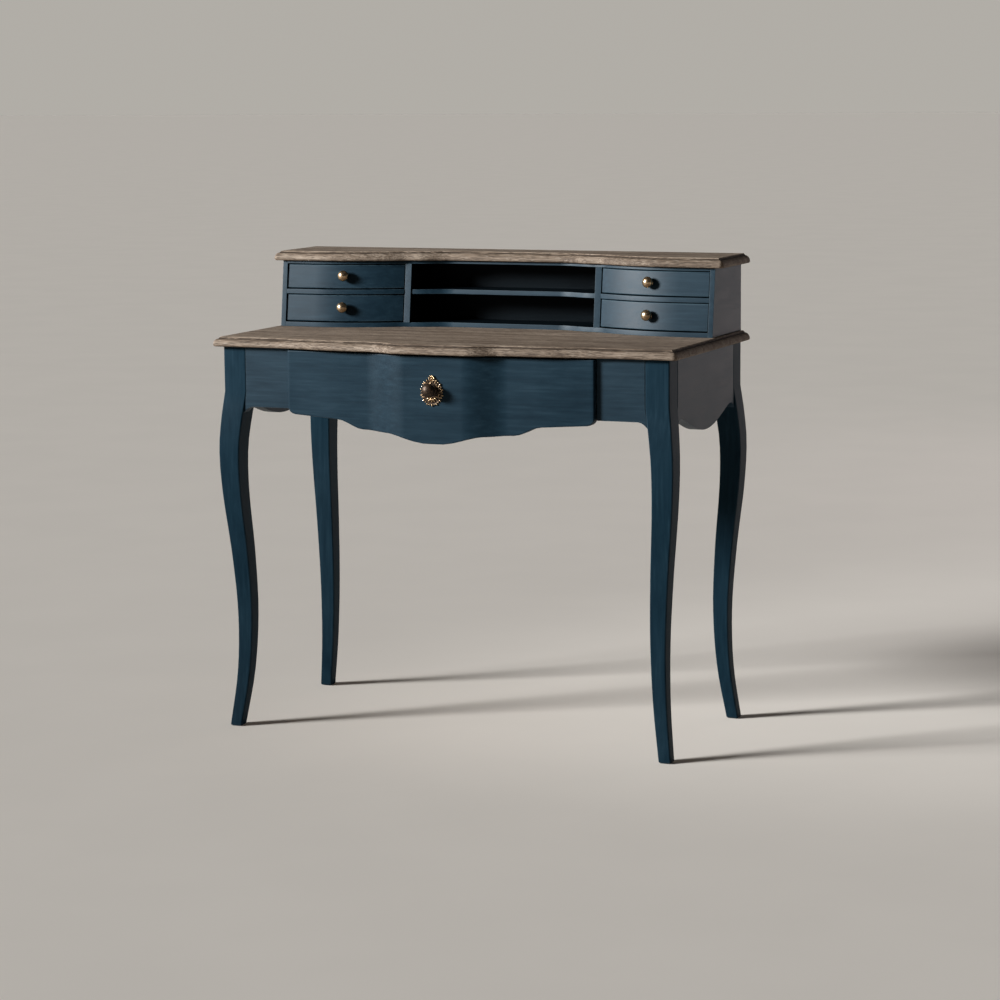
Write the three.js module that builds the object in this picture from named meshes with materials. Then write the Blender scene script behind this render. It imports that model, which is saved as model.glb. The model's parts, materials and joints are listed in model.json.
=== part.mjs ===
// A small French-country writing desk: four cabriole legs, a wide apron drawer with a serpentine
// front, and a low gallery on the back of the top with four small drawers and two open pigeonholes.
// Millimetres, +Z up, -Y is the front, the origin is on the floor under the middle of the desk.
import * as THREE from "three";

// ---- driving dimensions ----------------------------------------------------------------------
const bodyWidth = 902;
const bodyDepth = 416;
const deskHeight = 760;
const fullHeight = 908;
const boardThickness = 18.5;
const boardOverhang = 18;
const boardBackInset = 1;
const frontReach = 270;
const backReach = 217.9;

const blockWidth = 47;
const footWidth = 24;
const railThickness = 22;
const railBottom = 627;
const apronLobe = 34;

const openingHalf = 311.5;
const drawerFrontHalf = 310;
const drawerFrontBack = -200;
const drawerEndFront = -218;
const drawerSwell = 3;
const drawerBelly = 21;
const drawerBoxHalf = 290;
const drawerBoxBack = 165;
const drawerBoardThickness = 12;

const galleryFront = 35;
const galleryLean = 16 / 130;
const galleryPanel = 10;
const galleryBoard = 9;
const galleryBackThickness = 8;
const dividerInner = 193.5;
const dividerThickness = 13;
const shelfBottom = 824.5;
const topPanelBottom = 883.5;

// ---- derived dimensions ----------------------------------------------------------------------
const halfWidth = bodyWidth / 2;
const halfDepth = bodyDepth / 2;
const bodyTop = deskHeight - boardThickness;
const galleryTop = fullHeight - boardThickness;
const blockInner = halfWidth - blockWidth;
const blockInnerY = halfDepth - blockWidth;
const boardHalf = halfWidth + boardOverhang;
const boardBack = halfDepth - boardBackInset;
const galleryInner = halfWidth - galleryPanel;
const dividerOuter = dividerInner + dividerThickness;
const galleryBackFront = boardBack - galleryBackThickness;
const galleryFloor = deskHeight + galleryBoard;

// ---- colours ---------------------------------------------------------------------------------
const paint = { color: 0x2c4656, roughness: 0.55, metalness: 0 };
const oak = { color: 0x85715f, roughness: 0.7, metalness: 0 };
const pine = { color: 0xa98a63, roughness: 0.75, metalness: 0 };
const brass = { color: 0x9a7446, roughness: 0.35, metalness: 1 };

const desk = new THREE.Group();
desk.position.y = (frontReach - backReach) / 2;

function addPiece(name, geometry, finish) {
  const mesh = new THREE.Mesh(geometry, new THREE.MeshStandardMaterial(finish));
  mesh.name = name;
  desk.add(mesh);
  return mesh;
}

// ---- shape helpers ---------------------------------------------------------------------------
function ease(value, from, to) {
  return THREE.MathUtils.smoothstep(value, from, to);
}

function range(from, to, steps) {
  return Array.from({ length: steps + 1 }, (_, i) => from + ((to - from) * i) / steps);
}

function signedVolume(positions, index) {
  const a = new THREE.Vector3();
  const b = new THREE.Vector3();
  const c = new THREE.Vector3();
  let volume = 0;
  for (let i = 0; i < index.length; i += 3) {
    a.fromArray(positions, index[i] * 3);
    b.fromArray(positions, index[i + 1] * 3);
    c.fromArray(positions, index[i + 2] * 3);
    volume += a.dot(b.cross(c));
  }
  return volume;
}

// Joins a row of equal rings of points into one closed body, and turns its faces out.
// flatten says how the two end rings are laid flat to be capped.
function ringSolid(rings, flatten) {
  const count = rings[0].length;
  const positions = rings.flat().flatMap((point) => point.toArray());
  let index = [];
  for (let r = 0; r < rings.length - 1; r += 1) {
    for (let i = 0; i < count; i += 1) {
      const a = r * count + i;
      const b = r * count + ((i + 1) % count);
      index.push(a, b, b + count, a, b + count, a + count);
    }
  }
  const capAt = (ring, first, flip) => {
    const faces = THREE.ShapeUtils.triangulateShape(ring.map(flatten), []);
    for (const face of faces) {
      const [i, j, k] = flip ? [...face].reverse() : face;
      index.push(first + i, first + j, first + k);
    }
  };
  const ccw = THREE.ShapeUtils.area(rings[0].map(flatten)) > 0;
  capAt(rings[0], 0, ccw);
  capAt(rings[rings.length - 1], (rings.length - 1) * count, !ccw);
  if (signedVolume(positions, index) < 0) {
    index = index.reverse();
  }
  const geometry = new THREE.BufferGeometry();
  geometry.setAttribute("position", new THREE.Float32BufferAttribute(positions, 3));
  geometry.setIndex(index);
  geometry.computeVertexNormals();
  return geometry;
}

const flattenXY = (point) => new THREE.Vector2(point.x, point.y);
const flattenYZ = (point) => new THREE.Vector2(point.y, point.z);

// A straight plank between two corners.
function plank(x0, x1, y0, y1, z0, z1) {
  const geometry = new THREE.BoxGeometry(Math.abs(x1 - x0), Math.abs(y1 - y0), Math.abs(z1 - z0));
  geometry.translate((x0 + x1) / 2, (y0 + y1) / 2, (z0 + z1) / 2);
  return geometry;
}

// An outline in a vertical plane across the desk (list of [x, z]) between y0 and y1.
function acrossSolid(outline, y0, y1) {
  const rings = [y0, y1].map((y) => outline.map(([x, z]) => new THREE.Vector3(x, y, z)));
  return ringSolid(rings, (point) => new THREE.Vector2(point.x, point.z));
}

// An outline in a vertical plane along the desk's depth (list of [y, z]) between x0 and x1.
function alongSolid(outline, x0, x1) {
  const rings = [x0, x1].map((x) => outline.map(([y, z]) => new THREE.Vector3(x, y, z)));
  return ringSolid(rings, flattenYZ);
}

// ---- legs ------------------------------------------------------------------------------------
// How far the middle of the leg stands outside the body's corner, against height.
const legBends = [
  [0, -9],
  [105, -22.5],
  [220, -27],
  [335, -22.5],
  [475, -12.5],
  [550, -11.8],
  [610, -17.4],
  [655, -blockWidth / 2],
  [bodyTop, -blockWidth / 2],
];
const legCentre = new THREE.CubicInterpolant(
  legBends.map(([z]) => z),
  legBends.map(([, offset]) => offset),
  1,
  new Float32Array(1)
);
const legBlockStart = 655;
const legFullWidthFrom = 640;
const legMiddleWidth = 34.5;
const footChamfer = 2.5;
const legEdgeRadius = 3;
const legSteps = 23;
const earLength = 20;
const earDrop = 12;
const earTip = railBottom - earDrop;
const touchGap = 0.3;

function legMiddle(z) {
  return z < legBlockStart ? legCentre.evaluate(z)[0] : -blockWidth / 2;
}

function legWidth(z) {
  const t = Math.min(z / legFullWidthFrom, 1);
  const waist = legMiddleWidth - (footWidth + blockWidth) / 2;
  return footWidth + (blockWidth - footWidth) * t + waist * 4 * t * (1 - t);
}

// Where the leg's inner face stands, for a body whose half size that way is half.
function legInner(z, half) {
  return half + legMiddle(z) - legWidth(z) / 2;
}

function legSection(z, chamfer) {
  const middle = legMiddle(z);
  const half = legWidth(z) / 2 - chamfer;
  const points = [];
  for (let corner = 0; corner < 4; corner += 1) {
    const start = (corner * Math.PI) / 2;
    const sx = corner === 0 || corner === 3 ? 1 : -1;
    const sy = corner < 2 ? 1 : -1;
    for (const turn of [0, Math.PI / 4, Math.PI / 2]) {
      const x = sx * (half - legEdgeRadius) + legEdgeRadius * Math.cos(start + turn);
      const y = sy * (half - legEdgeRadius) + legEdgeRadius * Math.sin(start + turn);
      points.push([middle + x, middle + y]);
    }
  }
  return points;
}

function addLeg(name, side, end) {
  const levels = [0, ...range(footChamfer, earTip, legSteps), railBottom, legBlockStart, bodyTop];
  const rings = levels.map((z) =>
    legSection(z, z === 0 ? footChamfer : 0).map(
      ([x, y]) => new THREE.Vector3(side * (halfWidth + x), end * (halfDepth + y), z)
    )
  );
  addPiece(name, ringSolid(rings, flattenXY), paint);
}

addLeg("leg_front_left", -1, -1);
addLeg("leg_front_right", 1, -1);
addLeg("leg_back_left", -1, 1);
addLeg("leg_back_right", 1, 1);

// ---- aprons and rails ------------------------------------------------------------------------
const apronLobeHalf = 140;
const apronLobePower = 1.2;
const apronSteps = 44;
const railSteps = 16;

// The small curved ear where an apron's lower edge runs down into a leg.
function earDepth(distance) {
  const t = Math.max(0, 1 - distance / earLength);
  return earDrop * t * t;
}

// The end of an apron or rail from its ear upwards, which follows the leg's inner face.
function earEnd(half) {
  return [
    [legInner(railBottom, half) - touchGap, railBottom],
    [legInner(legBlockStart, half), legBlockStart],
    [legInner(bodyTop, half), bodyTop],
  ];
}

function sideApronOutline() {
  const reach = legInner(earTip, halfDepth) - touchGap;
  const lower = range(-reach, reach, apronSteps).map((y) => {
    const lobe = Math.cos(Math.min(Math.abs(y) / apronLobeHalf, 1) * (Math.PI / 2)) ** apronLobePower;
    return [y, railBottom - apronLobe * lobe - earDepth(reach - Math.abs(y))];
  });
  const end = earEnd(halfDepth);
  return [...lower, ...end, ...end.map(([y, z]) => [-y, z]).reverse()];
}

function addSideApron(name, side) {
  const outer = side * halfWidth;
  const inner = side * (halfWidth - railThickness);
  addPiece(name, alongSolid(sideApronOutline(), outer, inner), paint);
}

function railOutline(side) {
  const reach = legInner(earTip, halfWidth) - touchGap;
  const lower = range(openingHalf, reach, railSteps).map((x) => [x, railBottom - earDepth(reach - x)]);
  const outline = [...lower, ...earEnd(halfWidth), [openingHalf, bodyTop]];
  return outline.map(([x, z]) => [side * x, z]);
}

function addFrontRail(name, side) {
  addPiece(name, acrossSolid(railOutline(side), -halfDepth, -halfDepth + railThickness), paint);
}

addSideApron("apron_left", -1);
addSideApron("apron_right", 1);
const backApron = plank(-blockInner, blockInner, halfDepth - railThickness, halfDepth, railBottom, bodyTop);
addPiece("apron_back", backApron, paint);
addFrontRail("front_rail_left", -1);
addFrontRail("front_rail_right", 1);

// ---- hidden drawer frame ---------------------------------------------------------------------
const frameFront = -halfDepth + railThickness;
const frameBack = -150;
const frameEnd = halfDepth - railThickness;
const bearerTop = 640;
const kickerBottom = 731.5;
const runnerInner = 262;
const guideInner = drawerBoxHalf + 2;
const guideOuter = 304;
const guideTop = 672;

function acrossFrame(z0, z1) {
  return plank(-blockInner, blockInner, frameFront, frameBack, z0, z1);
}

addPiece("drawer_bearer", acrossFrame(railBottom, bearerTop), pine);
addPiece("front_top_rail", acrossFrame(kickerBottom, bodyTop), pine);

function addRunner(name, side) {
  const outline = [
    [side * runnerInner, railBottom],
    [side * guideOuter, railBottom],
    [side * guideOuter, guideTop],
    [side * guideInner, guideTop],
    [side * guideInner, bearerTop],
    [side * runnerInner, bearerTop],
  ];
  addPiece(name, acrossSolid(outline, frameBack, frameEnd), pine);
}

function addKicker(name, side) {
  const shape = plank(side * runnerInner, side * drawerBoxHalf, frameBack, frameEnd, kickerBottom, bodyTop);
  addPiece(name, shape, pine);
}

addRunner("drawer_runner_left", -1);
addRunner("drawer_runner_right", 1);
addKicker("drawer_kicker_left", -1);
addKicker("drawer_kicker_right", 1);

// ---- moulded boards --------------------------------------------------------------------------
// The moulded edge from the underside up: a small round, a wide quarter round, then a step.
const noseRound = 3.5;
const ovoloWidth = 10;
const ovoloHeight = 11.5;
const stepInset = 11.5;
const topArris = 1.5;
const boardCorner = 9;
const leastCorner = 0.6;

function boardProfile() {
  const profile = [];
  for (const turn of range(0, Math.PI / 2, 2)) {
    profile.push([noseRound * (1 - Math.sin(turn)), noseRound * (1 - Math.cos(turn))]);
  }
  for (const turn of range(Math.PI / 8, Math.PI / 2, 3)) {
    profile.push([ovoloWidth * (1 - Math.cos(turn)), noseRound + ovoloHeight * Math.sin(turn)]);
  }
  profile.push([stepInset, boardThickness - topArris]);
  profile.push([stepInset + topArris, boardThickness]);
  return profile;
}

// The plan of a board drawn in from its edge by inset. The back edge is plain.
function boardOutline(frontCurve, stations, inset) {
  const points = [];
  const radius = Math.max(boardCorner - inset, leastCorner);
  const centreX = boardHalf - inset - radius;
  const cornerY = frontCurve(boardHalf) + inset + radius;
  const corner = (side, turns) => {
    for (const turn of turns) {
      points.push([side * (centreX + radius * Math.sin(turn)), cornerY - radius * Math.cos(turn)]);
    }
  };
  points.push([-(boardHalf - inset), boardBack]);
  corner(-1, range(Math.PI / 2, 0, 3));
  for (const x of stations) {
    const slope = frontCurve(x + 0.5) - frontCurve(x - 0.5);
    const length = Math.hypot(slope, 1);
    points.push([x - (slope / length) * inset, frontCurve(x) + inset / length]);
  }
  corner(1, range(0, Math.PI / 2, 3));
  points.push([boardHalf - inset, boardBack]);
  return points;
}

function mouldedBoard(frontCurve, halfStations, bottom) {
  const stations = [...halfStations.map((x) => -x).reverse(), 0, ...halfStations];
  const rings = boardProfile().map(([inset, rise]) =>
    boardOutline(frontCurve, stations, inset).map(([x, y]) => new THREE.Vector3(x, y, bottom + rise))
  );
  return ringSolid(rings, flattenXY);
}

// The serpentine front edge of the writing top: it swells over the drawer and again over its belly.
const topLegFront = -222;
const topSwell = 14;
const bellySwell = 20;
const topBellyFrom = 130;
const topBellyTo = 70;
const swellFrom = 340;
const swellTo = 190;

function topFront(x) {
  const away = Math.abs(x);
  const swell = topSwell * (1 - ease(away, swellTo, swellFrom));
  const belly = bellySwell * (1 - ease(away, topBellyTo, topBellyFrom));
  return topLegFront - swell - belly;
}

const topStations = [
  40,
  ...range(topBellyTo, topBellyFrom, 8),
  158,
  ...range(swellTo, swellFrom, 7),
  400,
  445,
];
addPiece("desk_top", mouldedBoard(topFront, topStations, bodyTop), oak);

// ---- gallery ---------------------------------------------------------------------------------
// How far the gallery's front stands back from its ends: each drawer bay bows, the middle is hollow.
const bowFrom = 380;
const bowRadius = 309;
const hollowDepth = 75;
const hollowFrom = 190;
const hollowTo = 115;
const fullSteps = 56;

function galleryRecess(x) {
  const away = Math.abs(x);
  if (away >= bowFrom) {
    return 0;
  }
  const bayEnd = (dividerOuter + dividerInner) / 2;
  const bow = (bowFrom - Math.max(away, bayEnd)) ** 2 / (2 * bowRadius);
  const hollow = 1 - ease(away, hollowTo, hollowFrom);
  return bow + (hollowDepth - bow) * hollow;
}

function galleryFrontAt(x, z) {
  return galleryFront + galleryRecess(x) + (z - deskHeight) * galleryLean;
}

// A flat board whose front edge follows the gallery's front.
function galleryBoardSolid(x0, x1, z0, z1, steps, backY) {
  const stations = range(x0, x1, steps);
  const rings = [z0, z1].map((z) => [
    ...stations.map((x) => new THREE.Vector3(x, galleryFrontAt(x, z), z)),
    new THREE.Vector3(x1, backY, z),
    new THREE.Vector3(x0, backY, z),
  ]);
  return ringSolid(rings, flattenXY);
}

function uprightOutline(z0, z1, x, backY) {
  return [
    [galleryFrontAt(x, z0), z0],
    [backY, z0],
    [backY, z1],
    [galleryFrontAt(x, z1), z1],
  ];
}

function addGallerySide(name, side) {
  const outline = uprightOutline(deskHeight, galleryTop, halfWidth, boardBack);
  addPiece(name, alongSolid(outline, side * halfWidth, side * galleryInner), paint);
}

function addDivider(name, side) {
  const outline = uprightOutline(galleryFloor, topPanelBottom, dividerOuter - 2, galleryBackFront);
  addPiece(name, alongSolid(outline, side * dividerOuter, side * dividerInner), paint);
}

function addGallery() {
  addGallerySide("gallery_side_left", -1);
  addGallerySide("gallery_side_right", 1);
  const back = plank(-galleryInner, galleryInner, galleryBackFront, boardBack, deskHeight, galleryTop);
  addPiece("gallery_back", back, paint);
  const full = [-galleryInner, galleryInner];
  const floor = galleryBoardSolid(...full, deskHeight, galleryFloor, fullSteps, galleryBackFront);
  addPiece("gallery_floor", floor, paint);
  const topPanel = galleryBoardSolid(...full, topPanelBottom, galleryTop, fullSteps, galleryBackFront);
  addPiece("gallery_top_panel", topPanel, paint);
  addDivider("gallery_divider_left", -1);
  addDivider("gallery_divider_right", 1);
  const shelfTop = shelfBottom + galleryBoard;
  const middle = [-dividerInner, dividerInner];
  const shelf = galleryBoardSolid(...middle, shelfBottom, shelfTop, fullSteps / 2, galleryBackFront);
  addPiece("pigeonhole_shelf", shelf, paint);
  const leftBay = [-galleryInner, -dividerOuter];
  const left = galleryBoardSolid(...leftBay, shelfBottom, shelfTop, fullSteps / 4, galleryBackFront);
  addPiece("dust_board_left", left, paint);
  const rightBay = [dividerOuter, galleryInner];
  const right = galleryBoardSolid(...rightBay, shelfBottom, shelfTop, fullSteps / 4, galleryBackFront);
  addPiece("dust_board_right", right, paint);
}

addGallery();

const capOverhang = 10;

function capFront(x) {
  return galleryFrontAt(Math.min(Math.abs(x), halfWidth), galleryTop) - capOverhang;
}

const capStations = [
  60,
  ...range(hollowTo, hollowFrom, 6),
  (dividerInner + dividerOuter) / 2,
  ...range(210, bowFrom, 9),
  445,
];
addPiece("gallery_top", mouldedBoard(capFront, capStations, galleryTop), oak);

// ---- main drawer -----------------------------------------------------------------------------
const drawerFrontTop = 738.5;
const endRound = 3;
const cornerRound = 14;
const arris = 2.5;
const arrisBend = 0.3;
const bellyFrom = 144;
const bellyTo = 56;

function endDrop(x, half, radius) {
  const past = Math.max(0, Math.abs(x) - (half - radius));
  return radius - Math.sqrt(Math.max(0, radius * radius - past * past));
}

function drawerFrontAt(x) {
  const away = Math.abs(x);
  const swell = drawerSwell * (1 - ease(away, swellTo, drawerFrontHalf));
  const belly = drawerBelly * (1 - ease(away, bellyTo, bellyFrom));
  return drawerEndFront - swell - belly + endDrop(x, drawerFrontHalf, endRound);
}

// The lower edge of the drawer front: a deep middle lobe, a shoulder, an ogee and a long slow rise.
const lobeBottom = 575;
const lobeRise = { height: 16, from: 15, to: 102 };
const shoulderRise = { height: 3, from: 102, to: 150 };
const ogeeRise = { height: 17.5, from: 152, to: 208 };
const lastRise = { height: 6, from: 208, to: 300 };

function drawerLowerEdge(x) {
  const away = Math.abs(x);
  const curved = [lobeRise, shoulderRise, ogeeRise].reduce(
    (sum, { height, from, to }) => sum + height * ease(away, from, to),
    0
  );
  const along = (away - lastRise.from) / (lastRise.to - lastRise.from);
  const rise = curved + lastRise.height * THREE.MathUtils.clamp(along, 0, 1);
  return lobeBottom + rise + endDrop(x, drawerFrontHalf, cornerRound);
}

// The front's section at one place across it, with a small round on the two front edges.
function frontSection(x, front, back, bottom, top) {
  return [
    new THREE.Vector3(x, back, bottom),
    new THREE.Vector3(x, back, top),
    new THREE.Vector3(x, front + arris, top),
    new THREE.Vector3(x, front + arris * arrisBend, top - arris * arrisBend),
    new THREE.Vector3(x, front, top - arris),
    new THREE.Vector3(x, front, bottom + arris),
    new THREE.Vector3(x, front + arris * arrisBend, bottom + arris * arrisBend),
    new THREE.Vector3(x, front + arris, bottom),
  ];
}

function addMainDrawerFront() {
  const half = [20, 40, ...range(bellyTo, bellyFrom, 9), 152, ...range(163, 208, 4), 232, 256, 280];
  const corner = [0, 0.4, 0.7, 0.88].map((part) => drawerFrontHalf - cornerRound * (1 - part));
  const ends = [0.65, 0.9, 1].map((part) => drawerFrontHalf - endRound * (1 - part));
  const right = [...half, ...corner, ...ends];
  const stations = [...right.map((x) => -x).reverse(), 0, ...right];
  const rings = stations.map((x) =>
    frontSection(x, drawerFrontAt(x), drawerFrontBack, drawerLowerEdge(x), drawerFrontTop)
  );
  addPiece("main_drawer_front", ringSolid(rings, flattenYZ), paint);
}

const slideClearance = 0.6;
const kickerClearance = 2;
const panelRise = 4;
const panelThickness = 6;
const boxBottom = bearerTop + slideClearance;
const boxTop = kickerBottom - kickerClearance;
const panelBottom = boxBottom + panelRise;

function addMainDrawerBox() {
  const inner = drawerBoxHalf - drawerBoardThickness;
  const backFront = drawerBoxBack - drawerBoardThickness;
  for (const [name, side] of [["left", -1], ["right", 1]]) {
    const across = [side * inner, side * drawerBoxHalf];
    const shape = plank(...across, drawerFrontBack, drawerBoxBack, boxBottom, boxTop);
    addPiece(`main_drawer_side_${name}`, shape, pine);
  }
  addPiece("main_drawer_back", plank(-inner, inner, backFront, drawerBoxBack, boxBottom, boxTop), pine);
  const panelTop = panelBottom + panelThickness;
  const panel = plank(-inner, inner, drawerFrontBack, backFront, panelBottom, panelTop);
  addPiece("main_drawer_bottom", panel, pine);
}

addMainDrawerFront();
addMainDrawerBox();

// ---- pull ------------------------------------------------------------------------------------
const pullHeight = 674;
const pullKnobRise = 3;
const plateHalfWidth = 23;
const plateHalfHeight = 30;
const plateThickness = 3;
const plateLobes = 16;
const plateScallop = 0.05;
const plateSteps = 96;
const plateBack = drawerFrontAt(0) - touchGap;
const plateFront = plateBack - plateThickness;

function addPullPlate() {
  const outline = range(0, 2 * Math.PI, plateSteps).slice(0, -1).map((turn) => {
    const scallop = 1 - plateScallop * Math.abs(Math.sin((turn * plateLobes) / 2 + Math.PI / 4));
    const x = plateHalfWidth * scallop * Math.cos(turn);
    return [x, pullHeight + plateHalfHeight * scallop * Math.sin(turn)];
  });
  addPiece("pull_plate", acrossSolid(outline, plateFront, plateBack), brass);
}

function turnedKnob(profile, sides) {
  const points = profile.map(([radius, height]) => new THREE.Vector2(radius, height));
  return new THREE.LatheGeometry(points, sides);
}

const footThickness = 1.5;
const footToNeck = 1.5;
const headFlatness = 0.75;
const headStart = -1.05;
const pullKnobShape = { foot: 9, neck: 6, head: 12.5, reach: frontReach + plateFront - touchGap };
const smallKnobShape = { foot: 6.5, neck: 4, head: 10, reach: 18 };

// A round-headed knob that stands along its own +Y, drawn from its foot to its crown.
function knobProfile({ foot, neck, head, reach }) {
  const headHeight = head * headFlatness;
  const neckAt = footThickness + footToNeck;
  const profile = [[0, 0], [foot, 0], [foot, footThickness], [neck, neckAt]];
  for (const turn of range(headStart, Math.PI / 2, 6)) {
    const radius = turn === Math.PI / 2 ? 0 : head * Math.cos(turn);
    profile.push([radius, reach - headHeight + headHeight * Math.sin(turn)]);
  }
  return profile;
}

const up = new THREE.Vector3(0, 1, 0);

function addKnob(name, geometry, point, normal) {
  const knob = addPiece(name, geometry, brass);
  knob.quaternion.setFromUnitVectors(up, normal.clone().normalize());
  knob.position.copy(point).addScaledVector(normal.clone().normalize(), touchGap);
  return knob;
}

addPullPlate();
addKnob(
  "pull_knob",
  turnedKnob(knobProfile(pullKnobShape), 20),
  new THREE.Vector3(0, plateFront, pullHeight + pullKnobRise),
  new THREE.Vector3(0, -1, 0)
);

// ---- small drawers ---------------------------------------------------------------------------
const smallGap = 1.8;
const smallRecess = 3;
const smallFrontBack = 14;
const smallSide = 8;
const smallBoxBack = 188;
const smallKnobAt = 320;
const smallKnobRise = 1;
const smallArris = 1.2;
const smallBoxRise = 1;
const smallBoxDrop = 5;
const smallPanelRise = 3;
const smallPanelThickness = 4;

function smallFront(x0, x1, z0, z1) {
  const rings = range(x0, x1, 12).map((x) => {
    const low = galleryFrontAt(x, z0) + smallRecess;
    const high = galleryFrontAt(x, z1) + smallRecess;
    return [
      new THREE.Vector3(x, galleryFrontAt(x, z0) + smallFrontBack, z0),
      new THREE.Vector3(x, galleryFrontAt(x, z1) + smallFrontBack, z1),
      new THREE.Vector3(x, high + smallArris, z1),
      new THREE.Vector3(x, high, z1 - smallArris),
      new THREE.Vector3(x, low, z0 + smallArris),
      new THREE.Vector3(x, low + smallArris, z0),
    ];
  });
  return ringSolid(rings, flattenYZ);
}

// A drawer side runs back from the front's own back face, which leans as the front does.
function smallSideOutline(x, z0, z1) {
  return [
    [galleryFrontAt(x, z0) + smallFrontBack + touchGap, z0],
    [smallBoxBack, z0],
    [smallBoxBack, z1],
    [galleryFrontAt(x, z1) + smallFrontBack + touchGap, z1],
  ];
}

function smallPanel(x0, x1, z0, z1, back) {
  const stations = range(x0, x1, 10);
  const rings = [z0, z1].map((z) => [
    ...stations.map((x) => new THREE.Vector3(x, galleryFrontAt(x, z) + smallFrontBack + touchGap, z)),
    new THREE.Vector3(x1, back, z),
    new THREE.Vector3(x0, back, z),
  ]);
  return ringSolid(rings, flattenXY);
}

function addSmallDrawer(name, side, z0, z1) {
  const outer = galleryInner - smallGap;
  const inner = dividerOuter + smallGap;
  addPiece(`${name}_front`, smallFront(side * inner, side * outer, z0 + smallGap, z1 - smallGap), paint);
  const low = z0 + smallBoxRise;
  const high = z1 - smallBoxDrop;
  const outerEdge = outer - smallSide;
  const outerSide = alongSolid(smallSideOutline(outer, low, high), side * outer, side * outerEdge);
  const innerEdge = inner + smallSide;
  const innerSide = alongSolid(smallSideOutline(inner, low, high), side * inner, side * innerEdge);
  addPiece(`${name}_outer_side`, outerSide, pine);
  addPiece(`${name}_inner_side`, innerSide, pine);
  const boxInner = side * innerEdge;
  const boxOuter = side * outerEdge;
  const back = plank(boxInner, boxOuter, smallBoxBack - smallSide, smallBoxBack, low, high);
  addPiece(`${name}_back`, back, pine);
  const panelLow = low + smallPanelRise;
  const panelHigh = panelLow + smallPanelThickness;
  const panel = smallPanel(boxInner, boxOuter, panelLow, panelHigh, smallBoxBack - smallSide);
  addPiece(`${name}_bottom`, panel, pine);
  const middle = (z0 + z1) / 2 + smallKnobRise;
  const slope = (galleryRecess(smallKnobAt + 1) - galleryRecess(smallKnobAt - 1)) / 2;
  const seat = galleryFrontAt(smallKnobAt, middle) + smallRecess;
  const point = new THREE.Vector3(side * smallKnobAt, seat, middle);
  const normal = new THREE.Vector3(side * slope, -1, galleryLean);
  addKnob(`${name}_knob`, turnedKnob(knobProfile(smallKnobShape), 16), point, normal);
}

const drawerRows = [
  ["lower", galleryFloor, shelfBottom],
  ["upper", shelfBottom + galleryBoard, topPanelBottom],
];
for (const [row, z0, z1] of drawerRows) {
  addSmallDrawer(`${row}_left_drawer`, -1, z0, z1);
  addSmallDrawer(`${row}_right_drawer`, 1, z0, z1);
}

export default desk;
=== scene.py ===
import json
import math
import bpy
from mathutils import Matrix, Vector

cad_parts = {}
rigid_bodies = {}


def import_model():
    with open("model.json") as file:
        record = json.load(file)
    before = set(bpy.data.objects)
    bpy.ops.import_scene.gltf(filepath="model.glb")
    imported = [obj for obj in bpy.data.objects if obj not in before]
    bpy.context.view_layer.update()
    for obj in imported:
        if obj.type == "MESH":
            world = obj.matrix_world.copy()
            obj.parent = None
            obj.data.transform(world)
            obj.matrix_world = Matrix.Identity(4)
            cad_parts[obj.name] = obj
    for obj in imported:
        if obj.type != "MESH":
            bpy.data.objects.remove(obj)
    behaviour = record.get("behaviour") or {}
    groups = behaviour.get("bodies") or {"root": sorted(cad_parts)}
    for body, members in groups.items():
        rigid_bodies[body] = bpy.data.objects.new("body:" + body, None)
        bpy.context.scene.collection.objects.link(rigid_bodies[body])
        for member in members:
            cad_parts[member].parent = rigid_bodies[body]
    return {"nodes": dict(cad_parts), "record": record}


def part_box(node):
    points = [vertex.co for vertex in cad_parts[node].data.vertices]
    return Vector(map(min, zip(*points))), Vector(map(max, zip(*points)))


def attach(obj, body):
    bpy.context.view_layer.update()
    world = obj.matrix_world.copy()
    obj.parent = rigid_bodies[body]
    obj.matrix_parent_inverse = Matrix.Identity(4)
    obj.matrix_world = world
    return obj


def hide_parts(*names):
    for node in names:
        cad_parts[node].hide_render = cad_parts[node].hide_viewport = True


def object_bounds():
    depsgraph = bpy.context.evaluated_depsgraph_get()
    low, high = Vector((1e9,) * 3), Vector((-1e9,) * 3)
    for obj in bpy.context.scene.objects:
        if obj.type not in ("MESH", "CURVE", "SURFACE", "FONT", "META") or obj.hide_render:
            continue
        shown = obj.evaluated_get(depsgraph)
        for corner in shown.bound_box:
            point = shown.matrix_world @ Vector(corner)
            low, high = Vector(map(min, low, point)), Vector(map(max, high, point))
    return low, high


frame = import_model()
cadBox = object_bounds()  # the CAD model's own box, before anything is added
deskLow, deskHigh = cadBox
subparts = frame["record"]["subparts"]
slotOf = {part["node"]: part["material_slot"] for part in subparts}
bodies = frame["record"]["behaviour"]["bodies"]
bodyOf = {node: body for body, nodes in bodies.items() for node in nodes}
mm = 0.001
fullTurn = 2 * math.pi


# ---- camera, floor and light ----
cameraPlace = {
    "stand": (2.1376, -4.9947, 1.2502),
    "turn": 22.749,  # degrees round from straight on, towards the desk's right
    "down": 8.479,
    "roll": -0.518,
    "lens": 102.73,
}


def standCamera():
    bpy.ops.object.camera_add(location=cameraPlace["stand"])
    camera = bpy.context.object
    turn = Matrix.Rotation(math.radians(cameraPlace["turn"]), 3, "Z")
    tilt = Matrix.Rotation(math.radians(90 - cameraPlace["down"]), 3, "X")
    roll = Matrix.Rotation(math.radians(cameraPlace["roll"]), 3, "Z")
    camera.rotation_euler = (turn @ tilt @ roll).to_euler()
    camera.data.lens = cameraPlace["lens"]
    camera.data.clip_end = 200
    bpy.context.scene.camera = camera
    print("camera stands in front, to the right")


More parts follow.
